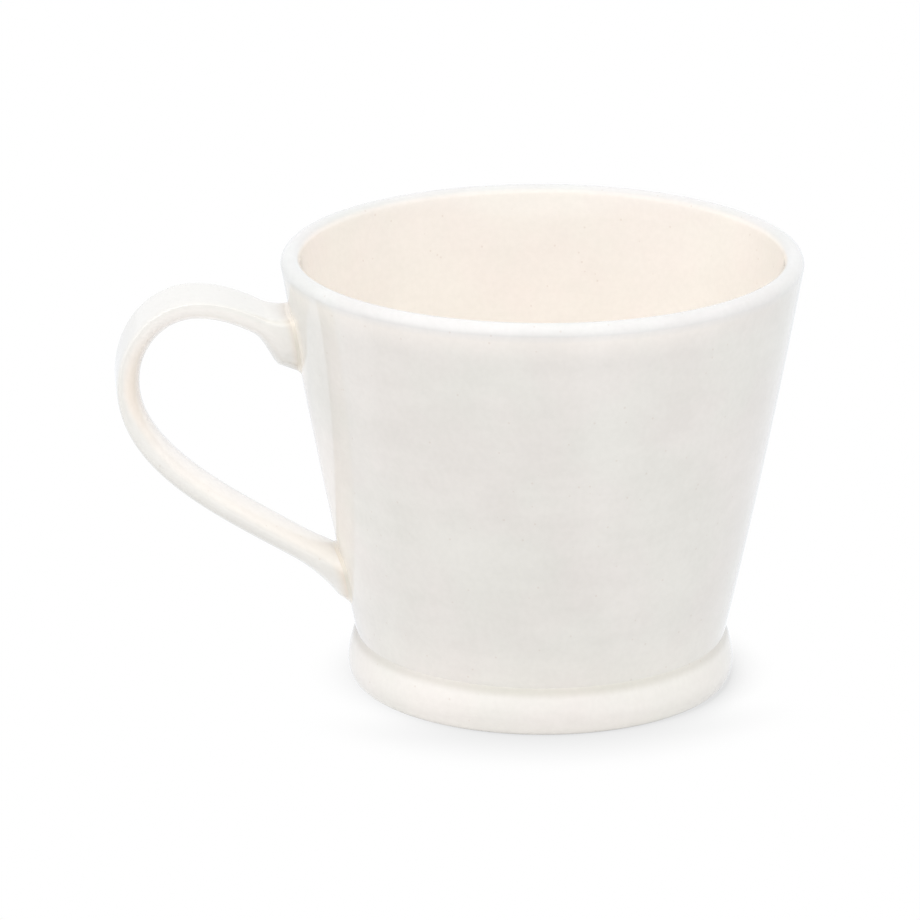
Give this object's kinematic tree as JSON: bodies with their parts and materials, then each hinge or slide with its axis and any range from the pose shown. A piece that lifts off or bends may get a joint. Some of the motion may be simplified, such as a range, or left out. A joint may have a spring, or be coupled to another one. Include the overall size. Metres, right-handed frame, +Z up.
{
  "type": "mug",
  "caption": "Glazed ceramic mug with a flared cup, half-round lip, rolled foot ring and a looped strap handle luted to the wall, for hot drinks.",
  "frame": {"origin": "bottom centre of the bounding box, on the surface that the mug stands on; the cup's own axis is 15.9 mm along +X from it", "axes": "+Z up along the cup's axis, the handle towards -X, +Y across the handle"},
  "size_m": [0.1318, 0.1, 0.0848],
  "materials": {
    "body_glaze": "glossy off-white glaze with soft cloudy mottling and a warm cream inside",
    "foot_glaze": "glossy off-white glaze, thinner on the roll and bare on the standing face",
    "handle_glaze": "glossy off-white glaze, warmer on the strap's edges",
    "slip_seam": "slip under pooled glaze, a warm line at the joint"
  },
  "bodies": {
    "root": {"cup_body": "body_glaze", "foot_ring": "foot_glaze", "handle": "handle_glaze", "foot_slip": "slip_seam", "upper_handle_slip": "slip_seam", "lower_handle_slip": "slip_seam"}
  },
  "joints": []
}
